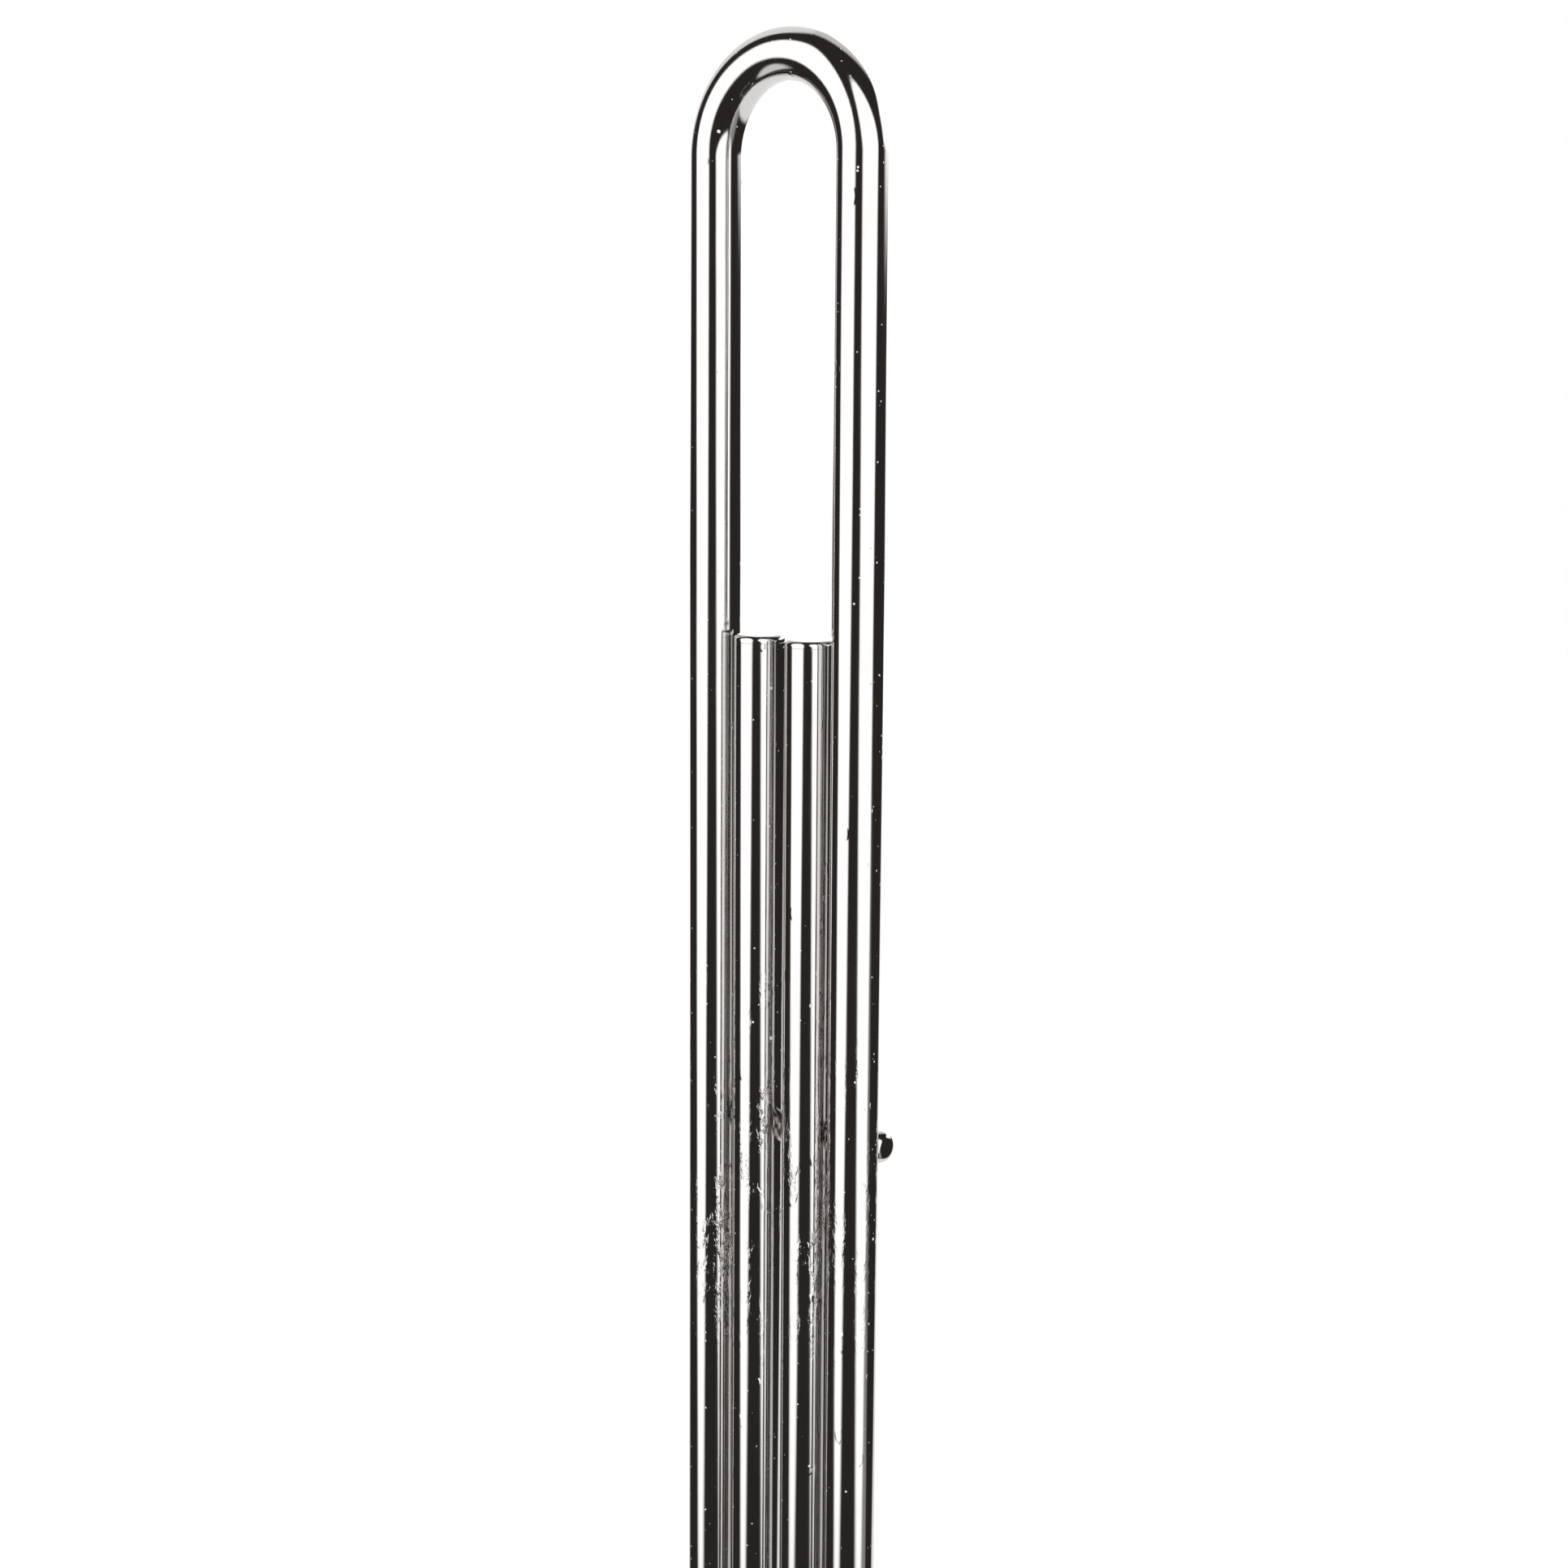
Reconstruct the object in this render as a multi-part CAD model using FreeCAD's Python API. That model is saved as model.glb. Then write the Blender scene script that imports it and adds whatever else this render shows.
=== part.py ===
import FreeCAD, Part
import math
import os

# Umbrella stand in bright tube on a cast-iron base.  Millimetres, +Z up.
# Origin: the middle of the base, at floor level.  The umbrellas stand in front, at -Y of the tubes.

os.makedirs("parts", exist_ok=True)
V = FreeCAD.Vector

# Tubes
total_height = 920.0
tube_d = 16.0
tube_wall = 1.2
bend_radius = 29.5
inner_offset = 10.6
loop_clear_height = 168.3
row_y = 92.0

# Caps on the inner tubes
cap_height = 2.4
cap_edge_radius = 1.5
cap_spigot_length = 12.0

# Cross-bar behind the row
cross_bar_d = 10.0
cross_bar_drop = 306.8
cross_bar_overhang = 3.4
cross_bar_seat = 0.5
cross_bar_edge_radius = 2.5

# Clamp that carries the hoop
clamp_z = 318.0
clamp_height = 26.0
clamp_side_margin = 12.0
clamp_front_t = 12.0
clamp_rear_t = 8.0
clamp_gap = 8.0
clamp_edge_radius = 2.0

# Hoop
hoop_inner_r = 95.0
hoop_rod_d = 10.0

# Base
base_r = 140.0
base_t = 18.0
base_top_radius = 5.0
base_bottom_chamfer = 1.5
socket_depth = 4.0

# Feet
foot_r = 12.0
foot_height = 6.0
foot_seat_depth = 2.0
foot_circle_r = 118.0
foot_screw_d = 4.0
foot_screw_grip = 9.0
foot_head_d = 7.6
foot_head_h = 2.0
foot_washer_d = 10.0
foot_washer_t = 0.8
foot_counterbore = 3.2

# Fixing of the tubes to the base
plug_length = 24.0
bolt_d = 8.0
bolt_head_d = 13.0
bolt_head_h = 4.0
bolt_socket = 5.0
bolt_engagement = 15.0
washer_d = 16.0
washer_t = 1.2
plate_t = 3.0
plate_width = 20.0
plate_margin = 9.0
pocket_clearance = 0.5
pocket_depth = 9.0

# Collar round the feet of the tubes
collar_t = 8.0
collar_width = 34.0
collar_side_margin = 17.0
collar_edge_radius = 2.0

# Small machine screws, used in the clamp and in the collar
screw_d = 4.0
screw_head_d = 7.0
screw_head_h = 4.0
screw_socket = 3.0
screw_edge_margin = 5.0
clamp_screw_grip = 7.0
collar_screw_length = 14.0
small_washer_d = 9.0
small_washer_t = 0.8

# Drip tray and its mat
tray_rim_r = 90.0
tray_flare_width = 7.0
tray_height = 16.0
tray_wall = 1.5
tray_bead_r = 1.6
tray_clearance = 1.0
tray_seat_depth = 3.0
mat_t = 3.0
mat_clearance = 3.0
mat_groove_w = 4.0
mat_groove_depth = 1.2
mat_groove_count = 6

# Values that follow from the ones above
tube_r = tube_d / 2.0
tube_inner_r = tube_r - tube_wall
spring_z = total_height - bend_radius - tube_r
inner_top_z = spring_z + bend_radius - tube_r - loop_clear_height - cap_height
cross_bar_z = spring_z - cross_bar_drop
cross_bar_r = cross_bar_d / 2.0
cross_bar_y = row_y + tube_r + cross_bar_r - cross_bar_seat
leg_xs = [-bend_radius, bend_radius]
inner_xs = [-inner_offset, inner_offset]
tube_xs = sorted(leg_xs + inner_xs)
row_half_width = bend_radius + tube_r
base_bottom_z = foot_height - foot_seat_depth
base_top_z = base_bottom_z + base_t
socket_z = base_top_z - socket_depth
pocket_top_z = base_bottom_z + pocket_depth
clamp_half_width = row_half_width + clamp_side_margin
clamp_screw_x = clamp_half_width - screw_edge_margin
clamp_screw_xs = [-clamp_screw_x, 0.0, clamp_screw_x]
front_clamp_y = row_y - clamp_gap / 2.0 - clamp_front_t
rear_clamp_y = row_y + clamp_gap / 2.0
hoop_rod_r = hoop_rod_d / 2.0
hoop_r = hoop_inner_r + hoop_rod_r
hoop_y = front_clamp_y - hoop_r
collar_half_width = row_half_width + collar_side_margin
collar_screw_x = collar_half_width - screw_head_d / 2.0 - screw_edge_margin
tray_y = hoop_y
tray_z = base_top_z - tray_seat_depth
tray_floor_r = tray_rim_r - tray_flare_width
tray_bead_z = tray_height - tray_bead_r
tray_flare = tray_flare_width / tray_bead_z
tray_seat_r = tray_floor_r + tray_flare * tray_seat_depth + tray_clearance


def cylinder(radius, height, x, y, z, axis=V(0, 0, 1)):
    return Part.makeCylinder(radius, height, V(x, y, z), axis)


def ring(outer, inner, height, x, y, z, axis=V(0, 0, 1)):
    return cylinder(outer, height, x, y, z, axis).cut(cylinder(inner, height, x, y, z, axis))


def box(x0, x1, y0, y1, z0, z1):
    return Part.makeBox(x1 - x0, y1 - y0, z1 - z0, V(x0, y0, z0))


def stadium(half_width, width, height, y, z):
    end_x = half_width - width / 2.0
    middle = box(-end_x, end_x, y - width / 2.0, y + width / 2.0, z, z + height)
    ends = [cylinder(width / 2.0, height, x, y, z) for x in (-end_x, end_x)]
    return middle.fuse(ends).removeSplitter()


def edges_at(shape, axis, value):
    found = []
    for edge in shape.Edges:
        low = getattr(edge.BoundBox, axis + "Min")
        high = getattr(edge.BoundBox, axis + "Max")
        if abs(low - value) < 1e-4 and abs(high - value) < 1e-4:
            found.append(edge)
    return found


def hexagon(across_flats, height, x, y, z, axis=V(0, 0, 1)):
    corner_r = across_flats / math.sqrt(3.0)
    points = []
    for i in range(7):
        angle = math.radians(60.0 * i)
        points.append(V(corner_r * math.cos(angle), corner_r * math.sin(angle), 0))
    prism = Part.Face(Part.makePolygon(points)).extrude(V(0, 0, height))
    prism.Placement = FreeCAD.Placement(V(x, y, z), FreeCAD.Rotation(V(0, 0, 1), axis))
    return prism


def screw(shank_d, length, head_d, head_h, socket, x, y, z, axis):
    # z is the underside of the head; axis points from the head to the tip
    head = cylinder(head_d / 2.0, head_h, x - axis.x * head_h, y - axis.y * head_h, z - axis.z * head_h, axis)
    rim = [e for e in head.Edges if e.Length > 1 and abs((e.CenterOfMass - V(x, y, z)).dot(axis) + head_h) < 1e-4]
    head = head.makeChamfer(0.4, rim)
    shank = cylinder(shank_d / 2.0, length, x, y, z, axis)
    depth = head_h * 0.55
    start = V(x, y, z) - axis * head_h
    return head.fuse(shank).removeSplitter().cut(hexagon(socket, depth, start.x, start.y, start.z, axis))


def tube_cuts(z, height):
    return [cylinder(tube_r, height, x, row_y, z) for x in tube_xs]


def make_loop_tube():
    centre = V(0, row_y, spring_z)
    start = V(bend_radius, row_y, spring_z)
    outer = Part.Face(Part.Wire([Part.makeCircle(tube_r, start, V(0, 0, 1))]))
    inner = Part.Face(Part.Wire([Part.makeCircle(tube_inner_r, start, V(0, 0, 1))]))
    bend = outer.cut(inner).revolve(centre, V(0, -1, 0), 180)
    leg_length = spring_z - socket_z
    legs = [ring(tube_r, tube_inner_r, leg_length, x, row_y, socket_z) for x in leg_xs]
    return bend.fuse(legs).removeSplitter()


def make_inner_tube(x):
    return ring(tube_r, tube_inner_r, inner_top_z - socket_z, x, row_y, socket_z)


def make_inner_cap(x):
    head = cylinder(tube_r, cap_height, x, row_y, inner_top_z)
    head = head.makeFillet(cap_edge_radius, edges_at(head, "Z", inner_top_z + cap_height))
    spigot = cylinder(tube_inner_r, cap_spigot_length, x, row_y, inner_top_z - cap_spigot_length)
    return head.fuse(spigot).removeSplitter()


def make_cross_bar():
    half = bend_radius + cross_bar_overhang
    bar = cylinder(cross_bar_r, 2 * half, -half, cross_bar_y, cross_bar_z, V(1, 0, 0))
    ends = edges_at(bar, "X", half) + edges_at(bar, "X", -half)
    bar = bar.makeFillet(cross_bar_edge_radius, ends)
    return bar.cut(tube_cuts(cross_bar_z - cross_bar_d, 2 * cross_bar_d))


def clamp_block(y, thickness):
    low_z = clamp_z - clamp_height / 2.0
    block = box(-clamp_half_width, clamp_half_width, y, y + thickness, low_z, low_z + clamp_height)
    corners = [e for e in block.Edges if abs(e.BoundBox.YLength - thickness) < 1e-4]
    block = block.makeFillet(clamp_edge_radius * 2, corners)
    return block


def make_front_clamp():
    block = clamp_block(front_clamp_y, clamp_front_t)
    block = block.makeFillet(clamp_edge_radius, edges_at(block, "Y", front_clamp_y))
    block = block.cut(tube_cuts(clamp_z - clamp_height, 2 * clamp_height))
    block = block.cut(make_holder_hoop())
    start_y = row_y - clamp_gap / 2.0 - clamp_screw_grip
    holes = [cylinder(screw_d / 2.0, clamp_front_t, x, start_y, clamp_z, V(0, 1, 0)) for x in clamp_screw_xs]
    return block.cut(holes)


def make_rear_clamp():
    block = clamp_block(rear_clamp_y, clamp_rear_t)
    block = block.makeFillet(clamp_edge_radius, edges_at(block, "Y", rear_clamp_y + clamp_rear_t))
    block = block.cut(tube_cuts(clamp_z - clamp_height, 2 * clamp_height))
    hole_y = rear_clamp_y - clamp_rear_t
    holes = [cylinder(screw_d / 2.0, 3 * clamp_rear_t, x, hole_y, clamp_z, V(0, 1, 0)) for x in clamp_screw_xs]
    return block.cut(holes)


def make_clamp_washers():
    y = rear_clamp_y + clamp_rear_t
    rings = [
        ring(small_washer_d / 2.0, screw_d / 2.0, small_washer_t, x, y, clamp_z, V(0, 1, 0))
        for x in clamp_screw_xs
    ]
    return Part.makeCompound(rings)


def make_clamp_screws():
    y = rear_clamp_y + clamp_rear_t + small_washer_t
    length = small_washer_t + clamp_rear_t + clamp_gap + clamp_screw_grip
    screws = [
        screw(screw_d, length, screw_head_d, screw_head_h, screw_socket, x, y, clamp_z, V(0, -1, 0))
        for x in clamp_screw_xs
    ]
    return Part.makeCompound(screws)


def make_holder_hoop():
    return Part.makeTorus(hoop_r, hoop_rod_r, V(0, hoop_y, clamp_z), V(0, 0, 1))


def make_tube_plug(x):
    plug = cylinder(tube_inner_r, plug_length, x, row_y, socket_z)
    return plug.cut(cylinder(bolt_d / 2.0, bolt_engagement, x, row_y, socket_z))


def make_tube_plugs():
    return Part.makeCompound([make_tube_plug(x) for x in tube_xs])


def make_backing_plate():
    plate = stadium(bend_radius + plate_margin, plate_width, plate_t, row_y, pocket_top_z - plate_t)
    return plate.cut([cylinder(bolt_d / 2.0, base_t, x, row_y, base_bottom_z) for x in tube_xs])


def make_column_washers():
    z = pocket_top_z - plate_t - washer_t
    rings = [ring(washer_d / 2.0, bolt_d / 2.0, washer_t, x, row_y, z) for x in tube_xs]
    return Part.makeCompound(rings)


def make_column_bolts():
    z = pocket_top_z - plate_t - washer_t
    length = socket_z - z + bolt_engagement
    bolts = [
        screw(bolt_d, length, bolt_head_d, bolt_head_h, bolt_socket, x, row_y, z, V(0, 0, 1))
        for x in tube_xs
    ]
    return Part.makeCompound(bolts)


def make_column_collar():
    collar = stadium(collar_half_width, collar_width, collar_t, row_y, base_top_z)
    collar = collar.makeFillet(collar_edge_radius, edges_at(collar, "Z", base_top_z + collar_t))
    collar = collar.cut(tube_cuts(base_top_z, 2 * collar_t))
    for x in (-collar_screw_x, collar_screw_x):
        collar = collar.cut(cylinder(screw_d / 2.0, collar_t, x, row_y, base_top_z))
        seat_z = base_top_z + collar_t - screw_head_h
        collar = collar.cut(cylinder(screw_head_d / 2.0, screw_head_h, x, row_y, seat_z))
    return collar


def make_collar_screws():
    z = base_top_z + collar_t - screw_head_h
    screws = [
        screw(screw_d, collar_screw_length, screw_head_d, screw_head_h, screw_socket, x, row_y, z, V(0, 0, -1))
        for x in (-collar_screw_x, collar_screw_x)
    ]
    return Part.makeCompound(screws)


def foot_points():
    points = []
    for i in range(4):
        angle = math.radians(45.0 + 90.0 * i)
        points.append((foot_circle_r * math.cos(angle), foot_circle_r * math.sin(angle)))
    return points


def make_base_plate():
    base = cylinder(base_r, base_t, 0, 0, base_bottom_z)
    base = base.makeFillet(base_top_radius, edges_at(base, "Z", base_top_z))
    base = base.makeChamfer(base_bottom_chamfer, edges_at(base, "Z", base_bottom_z))
    base = base.cut(cylinder(tray_seat_r, tray_seat_depth, 0, tray_y, tray_z))
    base = base.cut(tube_cuts(socket_z, base_t))
    pocket_half = bend_radius + plate_margin + pocket_clearance
    pocket_width = plate_width + 2 * pocket_clearance
    base = base.cut(stadium(pocket_half, pocket_width, pocket_depth, row_y, base_bottom_z))
    base = base.cut([cylinder(bolt_d / 2.0, base_t, x, row_y, base_bottom_z) for x in tube_xs])
    hole_z = base_top_z + collar_t - screw_head_h - collar_screw_length
    for x in (-collar_screw_x, collar_screw_x):
        base = base.cut(cylinder(screw_d / 2.0, base_top_z - hole_z, x, row_y, hole_z))
    for x, y in foot_points():
        base = base.cut(cylinder(foot_r, foot_seat_depth, x, y, base_bottom_z))
        hole_top = foot_counterbore + foot_screw_grip
        base = base.cut(cylinder(foot_screw_d / 2.0, hole_top - base_bottom_z, x, y, base_bottom_z))
    return base


def make_foot_pads():
    pads = []
    for x, y in foot_points():
        pad = cylinder(foot_r, foot_height, x, y, 0)
        pad = pad.makeChamfer(0.8, edges_at(pad, "Z", 0.0))
        pad = pad.cut(cylinder(foot_washer_d / 2.0, foot_counterbore, x, y, 0))
        pads.append(pad.cut(cylinder(foot_screw_d / 2.0, foot_height, x, y, 0)))
    return Part.makeCompound(pads)


def make_foot_washers():
    z = foot_counterbore - foot_washer_t
    rings = [ring(foot_washer_d / 2.0, foot_screw_d / 2.0, foot_washer_t, x, y, z) for x, y in foot_points()]
    return Part.makeCompound(rings)


def make_foot_screws():
    z = foot_counterbore - foot_washer_t
    length = foot_washer_t + foot_screw_grip
    screws = [
        screw(foot_screw_d, length, foot_head_d, foot_head_h, screw_socket, x, y, z, V(0, 0, 1))
        for x, y in foot_points()
    ]
    return Part.makeCompound(screws)


def make_drip_tray():
    # section of the dish, spun about its own axis: floor, flared wall, then a beaded rim
    points = [
        V(0, 0, 0),
        V(tray_floor_r, 0, 0),
        V(tray_rim_r, 0, tray_bead_z),
        V(tray_rim_r - tray_wall, 0, tray_bead_z),
        V(tray_floor_r - tray_wall, 0, tray_wall),
        V(0, 0, tray_wall),
        V(0, 0, 0),
    ]
    dish = Part.Face(Part.makePolygon(points)).revolve(V(0, 0, 0), V(0, 0, 1), 360)
    bead_r = tray_rim_r - tray_wall / 2.0
    circle = Part.Wire([Part.makeCircle(tray_bead_r, V(bead_r, 0, tray_bead_z), V(0, 1, 0))])
    bead = Part.Face(circle).revolve(V(0, 0, 0), V(0, 0, 1), 360)
    tray = dish.fuse(bead).removeSplitter()
    tray.translate(V(0, tray_y, tray_z))
    return tray


def make_tray_mat():
    mat_r = tray_floor_r - tray_wall - mat_clearance
    z = tray_z + tray_wall
    mat = cylinder(mat_r, mat_t, 0, tray_y, z)
    pitch = mat_r / (mat_groove_count + 1)
    for i in range(mat_groove_count):
        middle = pitch * (i + 1)
        outer = middle + mat_groove_w / 2.0
        inner = middle - mat_groove_w / 2.0
        mat = mat.cut(ring(outer, inner, mat_groove_depth, 0, tray_y, z + mat_t - mat_groove_depth))
    return mat


def save(name, shape):
    print(name, "valid", shape.isValid(), "solids", len(shape.Solids), "mm3", round(shape.Volume))
    shape.exportStep("parts/" + name + ".step")


save("loop_tube", make_loop_tube())
save("inner_tube_left", make_inner_tube(-inner_offset))
save("inner_tube_right", make_inner_tube(inner_offset))
save("inner_cap_left", make_inner_cap(-inner_offset))
save("inner_cap_right", make_inner_cap(inner_offset))
save("cross_bar", make_cross_bar())
save("front_clamp", make_front_clamp())
save("rear_clamp", make_rear_clamp())
save("clamp_washers", make_clamp_washers())
save("clamp_screws", make_clamp_screws())
save("holder_hoop", make_holder_hoop())
save("tube_plugs", make_tube_plugs())
save("backing_plate", make_backing_plate())
save("column_washers", make_column_washers())
save("column_bolts", make_column_bolts())
save("column_collar", make_column_collar())
save("collar_screws", make_collar_screws())
save("base_plate", make_base_plate())
save("foot_pads", make_foot_pads())
save("foot_washers", make_foot_washers())
save("foot_screws", make_foot_screws())
save("drip_tray", make_drip_tray())
save("tray_mat", make_tray_mat())
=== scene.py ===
# %% [markdown]
# # Umbrella stand in bright tube
# A tall, narrow umbrella stand: one tube bent into an inverted U that is also the handle, two shorter
# tubes between its legs, a hoop at the side for the umbrellas, and a heavy round base with a lift-out dish.
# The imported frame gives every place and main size, and each piece below reads them from there. Small edge
# radii, the camera, the studio's light and the finishes have values of their own here.

# %% Load the frame
import bpy
import bmesh
import math
from mathutils import Matrix, Vector


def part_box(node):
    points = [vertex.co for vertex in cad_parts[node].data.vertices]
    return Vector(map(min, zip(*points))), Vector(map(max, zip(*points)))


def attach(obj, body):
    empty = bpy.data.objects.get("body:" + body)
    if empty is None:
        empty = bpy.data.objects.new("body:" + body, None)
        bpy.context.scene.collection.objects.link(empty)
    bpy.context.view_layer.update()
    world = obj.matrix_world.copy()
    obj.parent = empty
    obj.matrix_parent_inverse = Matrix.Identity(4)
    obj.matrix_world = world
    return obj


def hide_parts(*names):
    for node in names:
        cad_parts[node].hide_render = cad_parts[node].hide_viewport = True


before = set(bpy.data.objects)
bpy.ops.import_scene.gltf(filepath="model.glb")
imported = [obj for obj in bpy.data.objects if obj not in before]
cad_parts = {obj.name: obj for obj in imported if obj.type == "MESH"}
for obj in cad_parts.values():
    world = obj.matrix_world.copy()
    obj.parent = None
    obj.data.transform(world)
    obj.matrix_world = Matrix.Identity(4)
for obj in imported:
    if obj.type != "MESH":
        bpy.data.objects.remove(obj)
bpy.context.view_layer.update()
scene = bpy.context.scene

# %% [markdown]
# ## Where things are
# Each tube's middle is the middle of its node's box. Reading them once here keeps the bright pieces, the
# brazing and the camera in step with the frame if a size changes.

# %% Read the sizes
def span(node):
    low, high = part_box(node)
    return Vector(low), Vector(high)


loop_low, loop_high = span("loop_tube")
inner_low, inner_high = span("inner_tube_left")
cap_high = span("inner_cap_left")[1]
bar_low, bar_high = span("cross_bar")
hoop_low, hoop_high = span("holder_hoop")
tray_low, tray_high = span("drip_tray")

tube_r = (loop_high.y - loop_low.y) / 2
bend_r = (loop_high.x - loop_low.x) / 2 - tube_r
row_y = (loop_high.y + loop_low.y) / 2
spring_z = loop_high.z - tube_r - bend_r
inner_x = -(inner_low.x + inner_high.x) / 2
bar_r = (bar_high.z - bar_low.z) / 2
bar_y = bar_high.y - bar_r
bar_z = (bar_high.z + bar_low.z) / 2
tube_xs = (-bend_r, -inner_x, inner_x, bend_r)
print("tube radius", round(tube_r, 4), "bend radius", round(bend_r, 4), "spring line", round(spring_z, 4))

# %% [markdown]
# ## Camera
# The stand is seen from the right of its front, close to, with the lens about level with the hand opening
# and tipped down a little, so the tubes draw together towards the bottom of the frame.

# %% Place the camera
camera_turn = math.radians(41.6)
camera_tip = math.radians(9.107)
camera_roll = math.radians(0.337)
camera_reach = 0.9379
camera_drop = 0.0426

camera = bpy.data.objects.new("camera", bpy.data.cameras.new("camera"))
scene.collection.objects.link(camera)
camera.data.sensor_width = 36.0
camera.data.lens = 69.85
camera.data.clip_start = 0.01
camera.location = (
    camera_reach * math.sin(camera_turn),
    row_y - camera_reach * math.cos(camera_turn),
    spring_z - camera_drop,
)
turn = Matrix.Rotation(camera_turn, 4, "Z")
tip = Matrix.Rotation(math.pi / 2 - camera_tip, 4, "X")
roll = Matrix.Rotation(camera_roll, 4, "Z")
camera.rotation_euler = (turn @ tip @ roll).to_euler()
scene.camera = camera
print("camera at", [round(v, 3) for v in camera.location])

# %% [markdown]
# ## Studio
# Bright metal shows nothing but the room, so the room is most of its look. Two large soft boxes stand to
# the left and right of the lens, a pale paper sweep runs behind and under the stand, and the rest of the
# room is dark: the gap where the lens looks in, the two far corners, the ceiling and the floor in front.
# Each light is drawn in the world as a rounded patch of azimuth and elevation, set so that the
# tubes carry the stripes they should in the main view. Other views get the same room and no more than that.
# The lens itself sees plain white behind the stand, and everything else sees the patches.

# %% Helpers for node trees
def feed(tree, socket, value):
    if isinstance(value, bpy.types.NodeSocket):
        tree.links.new(value, socket)
    else:
        socket.default_value = value


def math_node(tree, operation, *values, clamp=False):
    node = tree.nodes.new("ShaderNodeMath")
    node.operation = operation
    node.use_clamp = clamp
    for socket, value in zip(node.inputs, values):
        feed(tree, socket, value)
    return node.outputs[0]


def ramp_node(tree, factor, stops):
    node = tree.nodes.new("ShaderNodeValToRGB")
    elements = node.color_ramp.elements
    elements.remove(elements[-1])
    elements[0].position = stops[0][0]
    elements[0].color = (stops[0][1],) * 3 + (1,)
    for position, value in stops[1:]:
        elements.new(position).color = (value,) * 3 + (1,)
    feed(tree, node.inputs[0], factor)
    return node.outputs[0]


def fade_node(tree, value, start, end, low=0.0, high=1.0):
    """Goes softly from low to high as value goes from start to end."""
    node = tree.nodes.new("ShaderNodeMapRange")
    node.interpolation_type = "SMOOTHSTEP"
    feed(tree, node.inputs[0], value)
    for socket, bound in zip(list(node.inputs)[1:5], (start, end, low, high)):
        socket.default_value = bound
    return node.outputs[0]


def mix_colour(tree, factor, first, second):
    node = tree.nodes.new("ShaderNodeMix")
    node.data_type = "RGBA"
    for index, value in ((0, factor), (6, first), (7, second)):
        feed(tree, node.inputs[index], value)
    return node.outputs[2]


# %% Azimuth and elevation of each direction
world = bpy.data.worlds.new("studio")
world.use_nodes = True
scene.world = world
room = world.node_tree
room.nodes.clear()
facing = room.nodes.new("ShaderNodeTexCoord").outputs["Generated"]
split = room.nodes.new("ShaderNodeSeparateXYZ")
room.links.new(facing, split.inputs[0])
east, north, up = split.outputs
sin_t, cos_t = math.sin(camera_turn), math.cos(camera_turn)


def turned(first, second):
    """The sum of east and north, each times its own factor."""
    east_part = math_node(room, "MULTIPLY", east, first)
    return math_node(room, "ADD", east_part, math_node(room, "MULTIPLY", north, second))


ahead, behind = turned(sin_t, -cos_t), turned(-sin_t, cos_t)
right, left = turned(cos_t, sin_t), turned(-cos_t, -sin_t)
degrees = 180 / math.pi
front_azimuth = math_node(room, "MULTIPLY", math_node(room, "ARCTAN2", right, ahead), degrees)
rear_azimuth = math_node(room, "MULTIPLY", math_node(room, "ARCTAN2", left, behind), degrees)
elevation = math_node(room, "MULTIPLY", math_node(room, "ARCSINE", up), degrees)


# %% Lights as rounded patches
def patch(azimuth, level, centre, width, middle, height, lean=0.0, flare=0.0, soft=0.12, squareness=5.0):
    """A patch centred on (centre, middle) degrees; lean moves it and flare widens it with each degree up."""
    shifted = math_node(room, "MULTIPLY_ADD", elevation, -lean, -centre + lean * middle)
    sideways = math_node(room, "ABSOLUTE", math_node(room, "ADD", azimuth, shifted))
    reach = math_node(room, "MULTIPLY_ADD", elevation, flare, width - flare * middle)
    reach = math_node(room, "MAXIMUM", reach, 1.0)
    upward = math_node(room, "MULTIPLY_ADD", elevation, 1 / height, -middle / height)
    upward = math_node(room, "ABSOLUTE", upward)
    total = math_node(
        room, "ADD",
        math_node(room, "POWER", math_node(room, "DIVIDE", sideways, reach), squareness),
        math_node(room, "POWER", upward, squareness),
    )
    distance = math_node(room, "POWER", total, 1 / squareness)
    return fade_node(room, distance, 1 + soft, 1 - soft, 0.0, level)


lights = [
    patch(front_azimuth, 1.60, -64, 34, 15, 42, lean=-0.10, soft=0.11, squareness=2.0),
    patch(front_azimuth, 1.60, 32, 36, 15, 42, lean=-0.30, soft=0.11, squareness=2.0),
    patch(front_azimuth, 0.80, -105, 14, -48, 18, soft=0.30, squareness=2.5),
    patch(front_azimuth, 0.32, 66, 15, -38, 28, soft=0.30, squareness=2.5),
    patch(rear_azimuth, 0.95, 22, 30, 32, 30, soft=0.18, squareness=3.0),
    patch(rear_azimuth, 1.60, -42, 36, 15, 13, soft=0.15, squareness=3.0),
    patch(rear_azimuth, 1.60, 2, 30, 5, 9, soft=0.25, squareness=3.0),
    patch(rear_azimuth, 0.70, -12, 30, 42, 20, soft=0.35, squareness=3.0),
    patch(rear_azimuth, 1.00, -26, 68, -48, 42, lean=0.70, flare=-0.97, soft=0.12, squareness=6.0),
]
brightest = lights[0]
for light in lights[1:]:
    brightest = math_node(room, "MAXIMUM", brightest, light)
glow = mix_colour(room, brightest, (0.029, 0.0255, 0.024, 1), (1, 1, 1, 1))
glow.node.clamp_factor = False

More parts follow.
